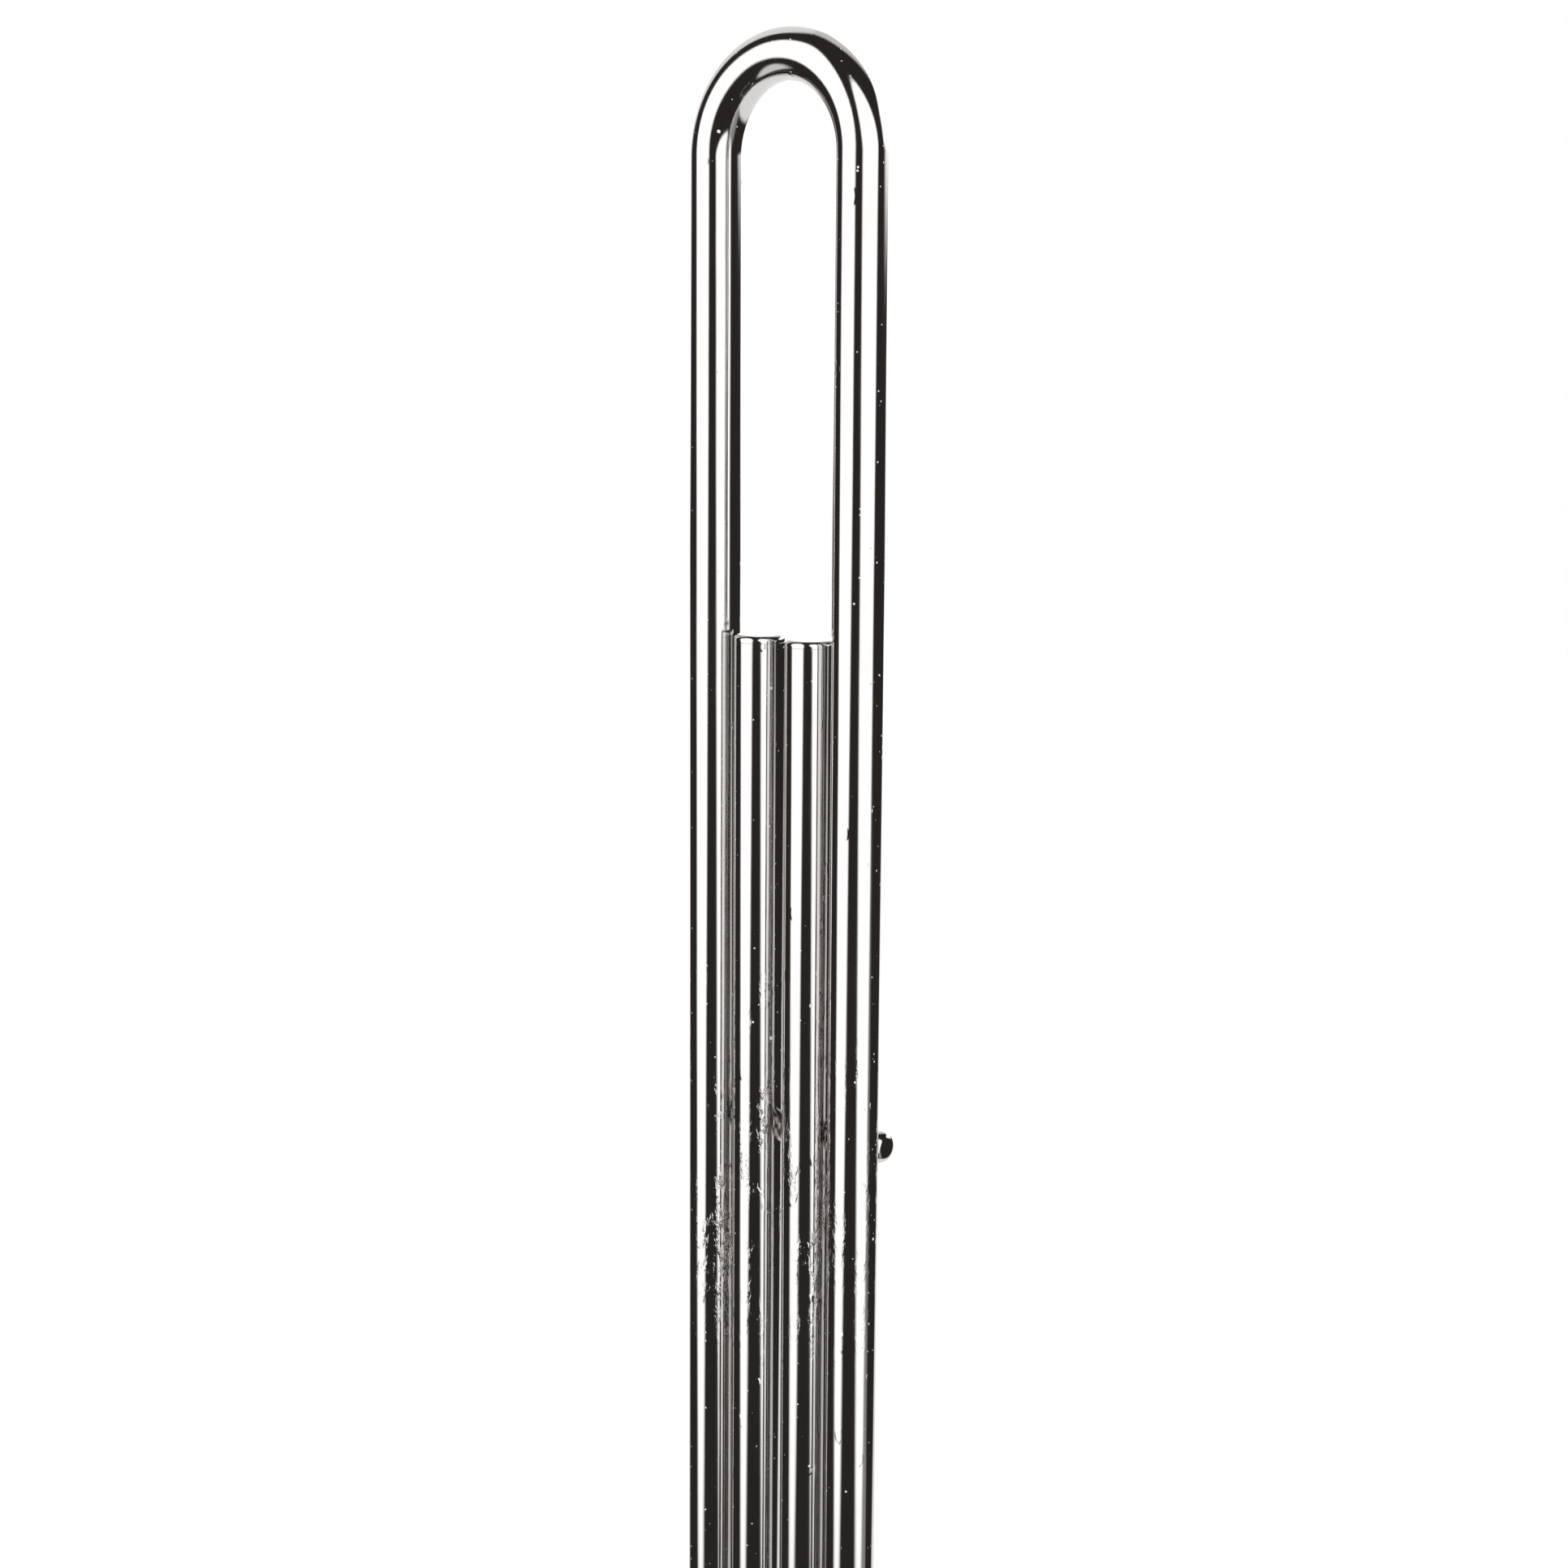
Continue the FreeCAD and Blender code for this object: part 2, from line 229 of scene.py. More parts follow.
mirrored = room.nodes.new("ShaderNodeBackground")
feed(room, mirrored.inputs[0], glow)
seen = room.nodes.new("ShaderNodeBackground")
seen.inputs[0].default_value = (1, 1, 1, 1)
choose = room.nodes.new("ShaderNodeMixShader")
feed(room, choose.inputs[0], room.nodes.new("ShaderNodeLightPath").outputs["Is Camera Ray"])
feed(room, choose.inputs[1], mirrored.outputs[0])
feed(room, choose.inputs[2], seen.outputs[0])
feed(room, room.nodes.new("ShaderNodeOutputWorld").inputs[0], choose.outputs[0])
scene.view_settings.view_transform = "Standard"
print("studio:", len(lights), "patches of light")

# %% [markdown]
# The floor is one plain pale sheet. It is hidden from mirror rays, because the world's patches already
# hold the light that comes up from it.

# %% Floor
floor_mesh = bpy.data.meshes.new("studio_floor")
reach = 6.0
floor_mesh.from_pydata(
    [(-reach, -reach, 0), (reach, -reach, 0), (reach, reach, 0), (-reach, reach, 0)], [], [(0, 1, 2, 3)]
)
floor = bpy.data.objects.new("studio_floor", floor_mesh)
scene.collection.objects.link(floor)
floor_finish = bpy.data.materials.new("studio_floor_paper")
floor_finish.use_nodes = True
paper = floor_finish.node_tree.nodes["Principled BSDF"]
paper.inputs["Base Color"].default_value = (0.93, 0.93, 0.93, 1)
paper.inputs["Roughness"].default_value = 0.9
paper.inputs["Emission Color"].default_value = (1, 1, 1, 1)
paper.inputs["Emission Strength"].default_value = 0.55
floor_mesh.materials.append(floor_finish)
floor.visible_glossy = False
print("floor", reach * 2, "m square")

# %% [markdown]
# ## Bright plating
# Chrome on tube is a near mirror, so its finish is in the small things: a slow waviness from polishing,
# hairline scratches along the tube, a thin haze where hands and umbrellas rub, and pale pinholes in the
# plating. Near the brazing, heat has left it rough and a little brown; the brown is painted shade as well,
# strongest where two tubes stand close. All of it works on Object coordinates, so it stays with the metal.

# %% Chrome finish
def bump_on(tree, height_socket, strength, distance, below=None):
    node = tree.nodes.new("ShaderNodeBump")
    node.inputs["Strength"].default_value = strength
    node.inputs["Distance"].default_value = distance
    tree.links.new(height_socket, node.inputs["Height"])
    if below is not None:
        tree.links.new(below, node.inputs["Normal"])
    return node.outputs[0]


def mapped(tree, scale, offset=(0, 0, 0)):
    coordinate = tree.nodes.new("ShaderNodeTexCoord")
    mapping = tree.nodes.new("ShaderNodeMapping")
    mapping.inputs["Scale"].default_value = scale
    mapping.inputs["Location"].default_value = offset
    tree.links.new(coordinate.outputs["Object"], mapping.inputs[0])
    return mapping.outputs[0]


def noise(tree, vector, scale, detail=2.0, roughness=0.5):
    node = tree.nodes.new("ShaderNodeTexNoise")
    node.inputs["Scale"].default_value = scale
    node.inputs["Detail"].default_value = detail
    node.inputs["Roughness"].default_value = roughness
    tree.links.new(vector, node.inputs["Vector"])
    return node.outputs["Fac"]


def cells(tree, vector, scale):
    node = tree.nodes.new("ShaderNodeTexVoronoi")
    node.inputs["Scale"].default_value = scale
    tree.links.new(vector, node.inputs["Vector"])
    return node


def new_finish(name):
    material = bpy.data.materials.new(name)
    material.use_nodes = True
    tree = material.node_tree
    shader = tree.nodes["Principled BSDF"]
    return material, tree, shader


def pits(tree, scale, size, share, stretch=(1, 1, 1)):
    """Small round spots: one in a share of the cells, size of a cell across."""
    spots = cells(tree, mapped(tree, stretch), scale)
    pick = tree.nodes.new("ShaderNodeSeparateColor")
    tree.links.new(spots.outputs["Color"], pick.inputs[0])
    reach = math_node(tree, "MULTIPLY", pick.outputs[1], size)
    spot = fade_node(tree, math_node(tree, "DIVIDE", spots.outputs["Distance"], reach), 1.0, 0.6)
    chosen = math_node(tree, "LESS_THAN", pick.outputs[0], share)
    return math_node(tree, "MULTIPLY", spot, chosen)


def heat_tint_and_crevice_shade(tree):
    """Rough, brown islands within heat_reach of the brazing, stronger near the gaps between close tubes as
    painted shade.
    """
    heat_middle, heat_reach, heat_core = bar_z - 0.010, 0.075, 0.010
    crevice_reach, crevice_core, open_share = 0.011, 0.005, 0.30
    place = tree.nodes.new("ShaderNodeSeparateXYZ")
    tree.links.new(tree.nodes.new("ShaderNodeTexCoord").outputs["Object"], place.inputs[0])
    distance = math_node(tree, "ABSOLUTE", math_node(tree, "SUBTRACT", place.outputs["Z"], heat_middle))
    heat = fade_node(tree, distance, heat_reach, heat_core)
    # Painted shade: the marks rise from open_share to full strength towards the gaps between neighbouring
    # tubes.
    side_x = math_node(tree, "ABSOLUTE", place.outputs["X"])
    outer_gap = math_node(tree, "ABSOLUTE", math_node(tree, "SUBTRACT", side_x, (bend_r + inner_x) / 2))
    nearest_gap = math_node(tree, "MINIMUM", side_x, outer_gap)
    crevice_shade = fade_node(tree, nearest_gap, crevice_reach, crevice_core, open_share)
    grain = noise(tree, mapped(tree, (1, 1, 0.45), (2, 8, 5)), 480, 3.0, 0.65)
    marks = ramp_node(tree, grain, [(0.0, 0.0), (0.50, 0.0), (0.68, 1.0), (1.0, 1.0)])
    islands = ramp_node(tree, noise(tree, mapped(tree, (1, 1, 0.30), (5, 3, 1)), 95, 2.0, 0.5),
                        [(0.0, 0.0), (0.48, 0.0), (0.58, 1.0), (1.0, 1.0)])
    for share in (islands, heat, crevice_shade):
        marks = math_node(tree, "MULTIPLY", marks, share)
    return marks


def make_chrome():
    material, tree, shader = new_finish("polished_chrome")
    scratches = noise(tree, mapped(tree, (1, 1, 0.02)), 900, 3.0, 0.7)
    scratch_lines = ramp_node(tree, scratches, [(0.0, 0.0), (0.60, 0.0), (0.70, 1.0), (1.0, 1.0)])
    haze = noise(tree, mapped(tree, (1, 1, 0.35), (3, 1, 2)), 34, 4.0, 0.6)
    haze_patches = ramp_node(tree, haze, [(0.0, 0.0), (0.5, 0.0), (0.75, 1.0), (1.0, 1.0)])
    pinholes = math_node(tree, "MAXIMUM", pits(tree, 300, 0.24, 0.14), pits(tree, 800, 0.30, 0.08))
    blisters = pits(tree, 190, 0.42, 0.16, (1, 1, 0.6))
    heat_tint_and_shade_mask = heat_tint_and_crevice_shade(tree)
    film = ramp_node(tree, noise(tree, mapped(tree, (1, 1, 0.5), (7, 5, 1)), 60, 5.0, 0.65),
                     [(0.0, 0.0), (0.54, 0.0), (0.74, 1.0), (1.0, 1.0)])
    clean, filmed = (0.665, 0.650, 0.640, 1), (0.56, 0.52, 0.49, 1)
    colour = mix_colour(tree, math_node(tree, "MULTIPLY", film, 0.4), clean, filmed)
    # The brown mixed in here is heat tint near the brazing and painted shade between the tubes.
    colour = mix_colour(tree, math_node(tree, "MULTIPLY", heat_tint_and_shade_mask, 0.35), colour, (0.46, 0.36, 0.31, 1))
    colour = mix_colour(tree, pinholes, colour, (0.88, 0.87, 0.85, 1))
    tree.links.new(colour, shader.inputs["Base Color"])
    tree.links.new(math_node(tree, "SUBTRACT", 1.0, pinholes), shader.inputs["Metallic"])
    gloss = math_node(tree, "MULTIPLY_ADD", haze_patches, 0.040, 0.075)
    gloss = math_node(tree, "ADD", gloss, math_node(tree, "MULTIPLY", scratch_lines, 0.05))
    gloss = math_node(tree, "ADD", gloss, math_node(tree, "MULTIPLY", pinholes, 0.55), clamp=True)
    tree.links.new(gloss, shader.inputs["Roughness"])
    wave = noise(tree, mapped(tree, (1, 1, 0.22)), 42, 1.0, 0.4)
    normal = bump_on(tree, wave, 0.20, 0.0010)
    normal = bump_on(tree, scratches, 0.05, 0.0001, normal)
    normal = bump_on(tree, blisters, 0.35, 0.00012, normal)
    normal = bump_on(tree, heat_tint_and_shade_mask, 0.45, 0.00030, normal)
    tree.links.new(normal, shader.inputs["Normal"])
    return material


chrome = make_chrome()
print("finish:", chrome.name)

# %% [markdown]
# ## Other finishes
# The base is cast iron under black satin enamel, which keeps a trace of the casting's orange-peel. The
# dish is spun stainless steel with rings from the spinning tool. Bolts and screws under the base are
# zinc-plated, those in sight are chromed, and the feet and the mat are rubber with a thin, uneven dust.

# %% Enamel, spun steel, zinc and rubber
def make_enamel():
    material, tree, shader = new_finish("black_enamel")
    mottle = noise(tree, mapped(tree, (1, 1, 1)), 45, 5.0, 0.6)
    colour = mix_colour(tree, mottle, (0.010, 0.010, 0.011, 1), (0.024, 0.023, 0.022, 1))
    chips = pits(tree, 160, 0.10, 0.03)
    colour = mix_colour(tree, chips, colour, (0.16, 0.15, 0.14, 1))
    tree.links.new(colour, shader.inputs["Base Color"])
    scuffs = ramp_node(tree, noise(tree, mapped(tree, (1, 1, 1), (4, 2, 9)), 60, 4.0, 0.6),
                       [(0.0, 0.24), (0.5, 0.28), (0.75, 0.40), (1.0, 0.44)])
    tree.links.new(scuffs, shader.inputs["Roughness"])
    peel = noise(tree, mapped(tree, (1, 1, 1)), 330, 2.0, 0.5)
    normal = bump_on(tree, peel, 0.18, 0.0002)
    normal = bump_on(tree, chips, 0.5, -0.0002, normal)
    tree.links.new(normal, shader.inputs["Normal"])
    return material


def make_spun_steel(centre_y):
    material, tree, shader = new_finish("spun_stainless")
    shader.inputs["Metallic"].default_value = 1.0
    place = mapped(tree, (1, 1, 1), (0, -centre_y, 0))
    rings = tree.nodes.new("ShaderNodeTexWave")
    rings.wave_type = "RINGS"
    rings.rings_direction = "Z"
    rings.inputs["Scale"].default_value = 260
    rings.inputs["Distortion"].default_value = 0.6
    rings.inputs["Detail"].default_value = 2.0
    tree.links.new(place, rings.inputs["Vector"])
    stains = noise(tree, place, 28, 5.0, 0.6)
    colour = mix_colour(tree, stains, (0.60, 0.60, 0.61, 1), (0.70, 0.695, 0.685, 1))
    tree.links.new(colour, shader.inputs["Base Color"])
    dullness = ramp_node(tree, stains, [(0.0, 0.20), (0.6, 0.28), (1.0, 0.42)])
    tree.links.new(dullness, shader.inputs["Roughness"])
    tree.links.new(bump_on(tree, rings.outputs["Fac"], 0.18, 0.0001), shader.inputs["Normal"])
    return material


def make_zinc():
    material, tree, shader = new_finish("zinc_plate")
    shader.inputs["Metallic"].default_value = 1.0
    spangle = cells(tree, mapped(tree, (1, 1, 1)), 700)
    colour = mix_colour(tree, spangle.outputs["Distance"], (0.50, 0.50, 0.51, 1), (0.66, 0.66, 0.65, 1))
    tree.links.new(colour, shader.inputs["Base Color"])
    wear = noise(tree, mapped(tree, (1, 1, 1)), 300, 4.0, 0.6)
    dullness = ramp_node(tree, wear, [(0.0, 0.22), (0.5, 0.32), (1.0, 0.5)])
    tree.links.new(dullness, shader.inputs["Roughness"])
    tree.links.new(bump_on(tree, wear, 0.15, 0.0001), shader.inputs["Normal"])
    return material


def make_rubber(name, dusty):
    material, tree, shader = new_finish(name)
    dust = noise(tree, mapped(tree, (1, 1, 1)), 70, 5.0, 0.65)
    black, dust_grey = (0.018, 0.018, 0.018, 1), (0.11, 0.105, 0.10, 1)
    colour = mix_colour(tree, math_node(tree, "MULTIPLY", dust, dusty), black, dust_grey)
    tree.links.new(colour, shader.inputs["Base Color"])
    tree.links.new(ramp_node(tree, dust, [(0.0, 0.55), (1.0, 0.82)]), shader.inputs["Roughness"])
    grain = noise(tree, mapped(tree, (1, 1, 1)), 1400, 2.0, 0.6)
    tree.links.new(bump_on(tree, grain, 0.3, 0.0002), shader.inputs["Normal"])
    return material


enamel = make_enamel()
spun_steel = make_spun_steel((tray_low.y + tray_high.y) / 2)
zinc = make_zinc()
foot_rubber = make_rubber("foot_rubber", 0.4)
mat_rubber = make_rubber("mat_rubber", 0.7)
print("finishes:", [m.name for m in bpy.data.materials])

# %% [markdown]
# ## Tubes
# A tube is a circle carried along a line, which is just what Curve to Mesh does, so one small tree makes
# every round bar and tube here: the loop, the two inner tubes and the hoop. The loop's line is two straight
# legs and a half circle. Many flats round the tube keep the mirror smooth.

# %% One tree for every round tube
def tree_inputs(tree, *entries):
    for name, kind, value in entries:
        socket = tree.interface.new_socket(name, in_out="INPUT", socket_type=kind)
        if value is not None:
            socket.default_value = value


def set_input(modifier, name, value):
    for item in modifier.node_group.interface.items_tree:
        if item.item_type == "SOCKET" and item.in_out == "INPUT" and item.name == name:
            modifier[item.identifier] = value
            return
    raise KeyError(name)


def tube_tree():
    tree = bpy.data.node_groups.new("tube_along_line", "GeometryNodeTree")
    tree_inputs(
        tree,
        ("Line", "NodeSocketGeometry", None),
        ("Radius", "NodeSocketFloat", 0.008),
        ("Flats", "NodeSocketInt", 96),
        ("Closed ends", "NodeSocketBool", True),
        ("Finish", "NodeSocketMaterial", None),
    )
    tree.interface.new_socket("Tube", in_out="OUTPUT", socket_type="NodeSocketGeometry")
    start = tree.nodes.new("NodeGroupInput")
    line = tree.nodes.new("GeometryNodeMeshToCurve")
    circle = tree.nodes.new("GeometryNodeCurvePrimitiveCircle")
    sweep = tree.nodes.new("GeometryNodeCurveToMesh")
    smooth = tree.nodes.new("GeometryNodeSetShadeSmooth")
    realize = tree.nodes.new("GeometryNodeRealizeInstances")
    paint = tree.nodes.new("GeometryNodeSetMaterial")
    end = tree.nodes.new("NodeGroupOutput")
    tree.links.new(start.outputs["Line"], line.inputs["Mesh"])
    tree.links.new(start.outputs["Radius"], circle.inputs["Radius"])
    tree.links.new(start.outputs["Flats"], circle.inputs["Resolution"])
    tree.links.new(line.outputs[0], sweep.inputs["Curve"])
    tree.links.new(circle.outputs[0], sweep.inputs["Profile Curve"])
    tree.links.new(start.outputs["Closed ends"], sweep.inputs["Fill Caps"])
    tree.links.new(sweep.outputs[0], smooth.inputs[0])
    tree.links.new(smooth.outputs[0], realize.inputs[0])
    tree.links.new(realize.outputs[0], paint.inputs["Geometry"])
    tree.links.new(start.outputs["Finish"], paint.inputs["Material"])
    tree.links.new(paint.outputs[0], end.inputs[0])
    return tree


def plain_mesh(holder, name, crease=30):
    """The evaluated object as a plain mesh on a new object; the holder and its modifier go."""
    depsgraph = bpy.context.evaluated_depsgraph_get()
    mesh = bpy.data.meshes.new_from_object(holder.evaluated_get(depsgraph))
    mesh.name = name
    old = holder.data
    holder.modifiers.clear()
    bpy.data.objects.remove(holder)
    bpy.data.meshes.remove(old)
    shell = bmesh.new()
    shell.from_mesh(mesh)
    bmesh.ops.recalc_face_normals(shell, faces=shell.faces)
    shell.to_mesh(mesh)
    shell.free()
    mesh.shade_smooth()
    mesh.set_sharp_from_angle(angle=math.radians(crease))
    piece = bpy.data.objects.new(name, mesh)
    scene.collection.objects.link(piece)
    return piece


def holder_of(name, points, closed=False):
    mesh = bpy.data.meshes.new(name + "_line")
    edges = [(i, i + 1) for i in range(len(points) - 1)]
    if closed:
        edges.append((len(points) - 1, 0))
    mesh.from_pydata([tuple(p) for p in points], edges, [])
    holder = bpy.data.objects.new(name + "_line", mesh)
    scene.collection.objects.link(holder)
    return holder


def with_tree(holder, tree, **values):
    modifier = holder.modifiers.new("tree", "NODES")
    modifier.node_group = tree
    for name, value in values.items():
        set_input(modifier, name.replace("_", " "), value)


def finished(piece, body, slot, *nodes):
    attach(piece, body)
    if nodes:
        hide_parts(*nodes)
    print(piece.name, len(piece.data.polygons), "faces")


tubes = tube_tree()
tube_flats = 128

# %% The loop, with its handle bend
bend_steps = 96
loop_line = [Vector((bend_r, row_y, loop_low.z))]
for step in range(bend_steps + 1):
    angle = math.pi * step / bend_steps
    loop_line.append(Vector((bend_r * math.cos(angle), row_y, spring_z + bend_r * math.sin(angle))))
loop_line.append(Vector((-bend_r, row_y, loop_low.z)))
loop_holder = holder_of("loop", loop_line)
with_tree(loop_holder, tubes, Radius=tube_r, Flats=tube_flats, Closed_ends=True, Finish=chrome)
loop = plain_mesh(loop_holder, "loop")
finished(loop, "stand", "chrome", "loop_tube")

# %% [markdown]
# The inner tubes end in a turned cap with a softened edge. Tube and cap are one bright skin to the eye,
# with a hairline between them, so the cap is turned as a short lathe profile that starts at that line.

# %% A small lathe
def lathe(name, profile, axis_point, axis="Z", steps=128, crease=35, finish=None):
    shell = bmesh.new()
    columns = []
    for radius, along in profile:
        ring = []
        if radius < 1e-7:
            ring.append(shell.verts.new((0, 0, along)))
        else:
            for step in range(steps):
                angle = 2 * math.pi * step / steps
                ring.append(shell.verts.new((radius * math.cos(angle), radius * math.sin(angle), along)))
        columns.append(ring)
    for first, second in zip(columns, columns[1:]):
        for step in range(steps):
            after = (step + 1) % steps
            if len(first) == 1 and len(second) == 1:
                continue
            if len(first) == 1:
                shell.faces.new((first[0], second[step], second[after]))
            elif len(second) == 1:
                shell.faces.new((first[step], second[0], first[after]))
            else:
                shell.faces.new((first[step], second[step], second[after], first[after]))
    bmesh.ops.remove_doubles(shell, verts=shell.verts, dist=1e-7)
    bmesh.ops.recalc_face_normals(shell, faces=shell.faces)
    mesh = bpy.data.meshes.new(name)
    shell.to_mesh(mesh)
    shell.free()
    if axis == "X":
        mesh.transform(Matrix.Rotation(math.pi / 2, 4, "Y"))
    mesh.transform(Matrix.Translation(axis_point))
    mesh.shade_smooth()
    mesh.set_sharp_from_angle(angle=math.radians(crease))
    if finish:
        mesh.materials.append(finish)
    piece = bpy.data.objects.new(name, mesh)
    scene.collection.objects.link(piece)
    return piece


def rounded_corner(radius, along, edge, steps=10):
    """Profile points round an outer corner at (radius, along), going from the side to the end face."""
    points = []
    for step in range(steps + 1):
        angle = math.pi / 2 * step / steps
        points.append((radius - edge + edge * math.cos(angle), along - edge + edge * math.sin(angle)))
    return points


# %% Inner tubes and their caps
joint_z = inner_high.z
cap_edge = 0.0015
for side, x in (("left", -inner_x), ("right", inner_x)):
    line = [Vector((x, row_y, inner_low.z)), Vector((x, row_y, joint_z))]
    tube_holder = holder_of("inner_" + side, line)
    with_tree(tube_holder, tubes, Radius=tube_r, Flats=tube_flats, Closed_ends=True, Finish=chrome)
    tube = plain_mesh(tube_holder, "inner_" + side)
    finished(tube, "stand", "chrome", "inner_tube_" + side)
    groove = 0.00012
    profile = [
        (0.0, joint_z), (tube_r - groove, joint_z),
        (tube_r - groove, joint_z + groove), (tube_r, joint_z + 2 * groove),
    ]
    profile += rounded_corner(tube_r, cap_high.z, cap_edge)
    profile += [(tube_r * 0.5, cap_high.z), (0.0, cap_high.z)]
    cap = lathe("cap_" + side, profile, Vector((x, row_y, 0)), finish=chrome)
    finished(cap, "stand", "chrome", "inner_cap_" + side)

# %% [markdown]
# ## Cross-bar and its brazing
# A thinner bar lies across the back of the four tubes and is brazed to each. The bar is turned with a
# softened edge at each end. Each joint shows a narrow rippled bead of filler, plated over with the rest: it
# follows the line where bar and tube meet, so it is swept along that line and roughened with noise.

# %% The bar
half_bar = (bar_high.x - bar_low.x) / 2
bar_edge = 0.0025
right_end = rounded_corner(bar_r, half_bar, bar_edge)
left_end = [(radius, -along) for radius, along in reversed(right_end)]
bar = lathe(
    "back_bar", [(0.0, -half_bar)] + left_end + right_end + [(0.0, half_bar)],
    Vector((0, bar_y, bar_z)), axis="X", steps=96, finish=chrome,
)
finished(bar, "stand", "chrome", "cross_bar")

# %% Brazing beads
def seam(x, steps=72):
    """The closed line where the bar's round meets the tube's round."""
    gap = bar_y - row_y
    widest = math.acos((gap - tube_r) / bar_r)
    points = []
    for step in range(steps):
        turn_angle = 2 * math.pi * step / steps
        lift = widest * math.sin(turn_angle)
        reach_y = gap - bar_r * math.cos(lift)
        aside_x = math.sqrt(max(tube_r ** 2 - reach_y ** 2, 0.0))
        sign = 1 if math.cos(turn_angle) >= 0 else -1
        points.append(Vector((x + sign * aside_x, row_y + reach_y, bar_z + bar_r * math.sin(lift))))
    return points


def bead_tree():
    tree = bpy.data.node_groups.new("brazing_bead", "GeometryNodeTree")
    tree_inputs(
        tree,
        ("Line", "NodeSocketGeometry", None),
        ("Bead radius", "NodeSocketFloat", 0.0009),
        ("Ripple", "NodeSocketFloat", 0.0003),
        ("Ripple scale", "NodeSocketFloat", 900.0),
        ("Finish", "NodeSocketMaterial", None),
    )
    tree.interface.new_socket("Bead", in_out="OUTPUT", socket_type="NodeSocketGeometry")
    start = tree.nodes.new("NodeGroupInput")
    line = tree.nodes.new("GeometryNodeMeshToCurve")
    circle = tree.nodes.new("GeometryNodeCurvePrimitiveCircle")
    circle.inputs["Resolution"].default_value = 12
    sweep = tree.nodes.new("GeometryNodeCurveToMesh")
    ripple = tree.nodes.new("ShaderNodeTexNoise")
    centred = tree.nodes.new("ShaderNodeMath")
    centred.operation = "SUBTRACT"
    centred.inputs[1].default_value = 0.5
    amount = tree.nodes.new("ShaderNodeMath")
    amount.operation = "MULTIPLY"
    normal = tree.nodes.new("GeometryNodeInputNormal")
    push = tree.nodes.new("ShaderNodeVectorMath")
    push.operation = "SCALE"
    move = tree.nodes.new("GeometryNodeSetPosition")
    realize = tree.nodes.new("GeometryNodeRealizeInstances")
    paint = tree.nodes.new("GeometryNodeSetMaterial")
    end = tree.nodes.new("NodeGroupOutput")
    tree.links.new(start.outputs["Line"], line.inputs["Mesh"])
    tree.links.new(start.outputs["Bead radius"], circle.inputs["Radius"])
    tree.links.new(line.outputs[0], sweep.inputs["Curve"])
    tree.links.new(circle.outputs[0], sweep.inputs["Profile Curve"])
    tree.links.new(start.outputs["Ripple scale"], ripple.inputs["Scale"])
    tree.links.new(ripple.outputs[0], centred.inputs[0])
    tree.links.new(centred.outputs[0], amount.inputs[0])
    tree.links.new(start.outputs["Ripple"], amount.inputs[1])
    tree.links.new(normal.outputs[0], push.inputs[0])
    tree.links.new(amount.outputs[0], push.inputs["Scale"])
    tree.links.new(sweep.outputs[0], move.inputs["Geometry"])
    tree.links.new(push.outputs[0], move.inputs["Offset"])
    tree.links.new(move.outputs[0], realize.inputs[0])
    tree.links.new(realize.outputs[0], paint.inputs["Geometry"])
    tree.links.new(start.outputs["Finish"], paint.inputs["Material"])
    tree.links.new(paint.outputs[0], end.inputs[0])
    return tree


beads = bead_tree()
for number, x in enumerate(tube_xs):
    holder = holder_of("bead_%d" % (number + 1), seam(x), closed=True)
    with_tree(holder, beads, Bead_radius=0.0008, Ripple=0.0003, Ripple_scale=500.0, Finish=chrome)
    bead = plain_mesh(holder, "bar_bead_%d" % (number + 1), crease=60)
    finished(bead, "stand", "chrome")

# %% [markdown]
# ## Hoop
# The hoop is a round rod bent to a full ring and let half into the front of the clamp, so it uses the same
# tree as the tubes with a closed line.

# %% The hoop
hoop_rod_r = (hoop_high.z - hoop_low.z) / 2
hoop_r = (hoop_high.x - hoop_low.x) / 2 - hoop_rod_r
hoop_middle = (hoop_low + hoop_high) / 2
hoop_line = []
hoop_steps = 240
for step in range(hoop_steps):
    angle = 2 * math.pi * step / hoop_steps
    hoop_line.append(hoop_middle + Vector((hoop_r * math.cos(angle), hoop_r * math.sin(angle), 0)))
hoop_holder = holder_of("hoop", hoop_line, closed=True)
with_tree(hoop_holder, tubes, Radius=hoop_rod_r, Flats=tube_flats // 2, Closed_ends=False, Finish=chrome)
hoop = plain_mesh(hoop_holder, "hoop")
finished(hoop, "stand", "chrome", "holder_hoop")

# %% [markdown]
# ## Machined and cast pieces
# The clamp, collar, base, feet, dish and fixings already have their true shape in the frame. Each gets a
# welded copy, so its faces can share normals: curved faces then shade as one surface and edges stay crisp.
# Flat areas are first merged into single faces, and the larger face then has the say at a shared corner,
# so a flat stays flat right up to its rounded edge.

# %% Welded copies of the frame's own shapes
weld_distance = 2e-6
flat_angle = math.radians(0.1)


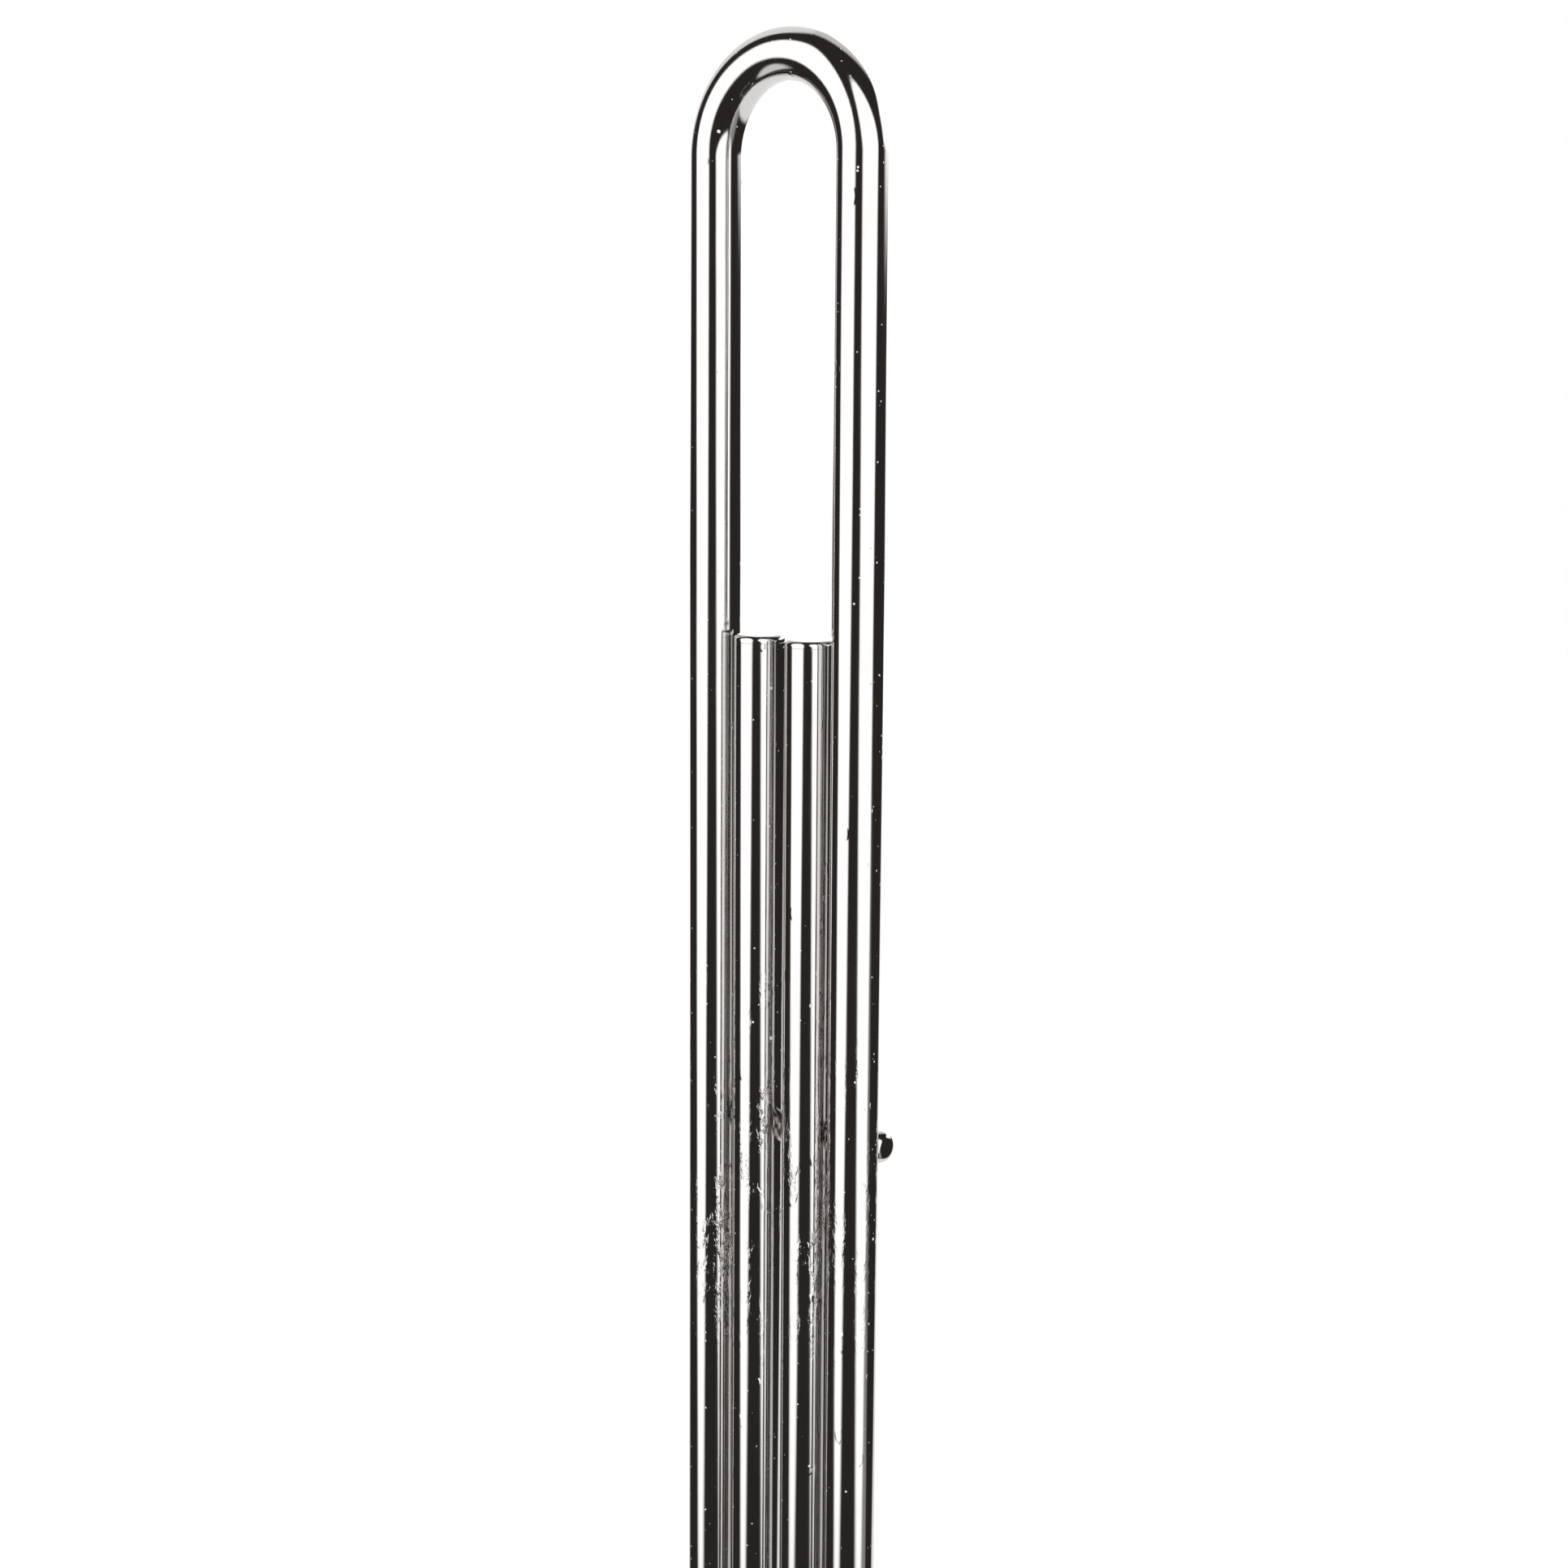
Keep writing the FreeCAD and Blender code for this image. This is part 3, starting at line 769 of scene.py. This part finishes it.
def welded_copy(name, node, finish, body, slot, crease=30):
    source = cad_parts[node]
    mesh = source.data.copy()
    mesh.name = name
    shell = bmesh.new()
    shell.from_mesh(mesh)
    bmesh.ops.remove_doubles(shell, verts=shell.verts, dist=weld_distance)
    bmesh.ops.recalc_face_normals(shell, faces=shell.faces)
    bmesh.ops.dissolve_limit(shell, angle_limit=flat_angle, verts=shell.verts, edges=shell.edges)
    shell.to_mesh(mesh)
    shell.free()
    mesh.materials.clear()
    mesh.materials.append(finish)
    mesh.shade_smooth()
    mesh.set_sharp_from_angle(angle=math.radians(crease))
    holder = bpy.data.objects.new(name + "_draft", mesh)
    scene.collection.objects.link(holder)
    weighted = holder.modifiers.new("weighted", "WEIGHTED_NORMAL")
    weighted.mode = "FACE_AREA"
    weighted.weight = 100
    weighted.keep_sharp = True
    even = bpy.data.meshes.new_from_object(holder.evaluated_get(bpy.context.evaluated_depsgraph_get()))
    even.name = name
    bpy.data.objects.remove(holder)
    bpy.data.meshes.remove(mesh)
    piece = bpy.data.objects.new(name, even)
    scene.collection.objects.link(piece)
    finished(piece, body, slot, node)


welded_copy("clamp_front", "front_clamp", chrome, "stand", "chrome")
welded_copy("clamp_back", "rear_clamp", chrome, "stand", "chrome")
welded_copy("clamp_screw_set", "clamp_screws", chrome, "stand", "chrome")
welded_copy("clamp_washer_set", "clamp_washers", chrome, "stand", "chrome")
welded_copy("collar", "column_collar", chrome, "stand", "chrome")
welded_copy("collar_screw_set", "collar_screws", chrome, "stand", "chrome")
welded_copy("base", "base_plate", enamel, "stand", "black_iron")
welded_copy("feet", "foot_pads", foot_rubber, "stand", "foot_rubber")
welded_copy("foot_screw_set", "foot_screws", zinc, "stand", "plain_steel")
welded_copy("foot_washer_set", "foot_washers", zinc, "stand", "plain_steel")
welded_copy("bolt_set", "column_bolts", zinc, "stand", "plain_steel")
welded_copy("bolt_washer_set", "column_washers", zinc, "stand", "plain_steel")
welded_copy("bolt_strip", "backing_plate", zinc, "stand", "plain_steel")
welded_copy("plug_set", "tube_plugs", zinc, "stand", "plain_steel")
welded_copy("dish", "drip_tray", spun_steel, "tray", "tray_steel")
welded_copy("dish_mat", "tray_mat", mat_rubber, "tray", "mat_rubber")
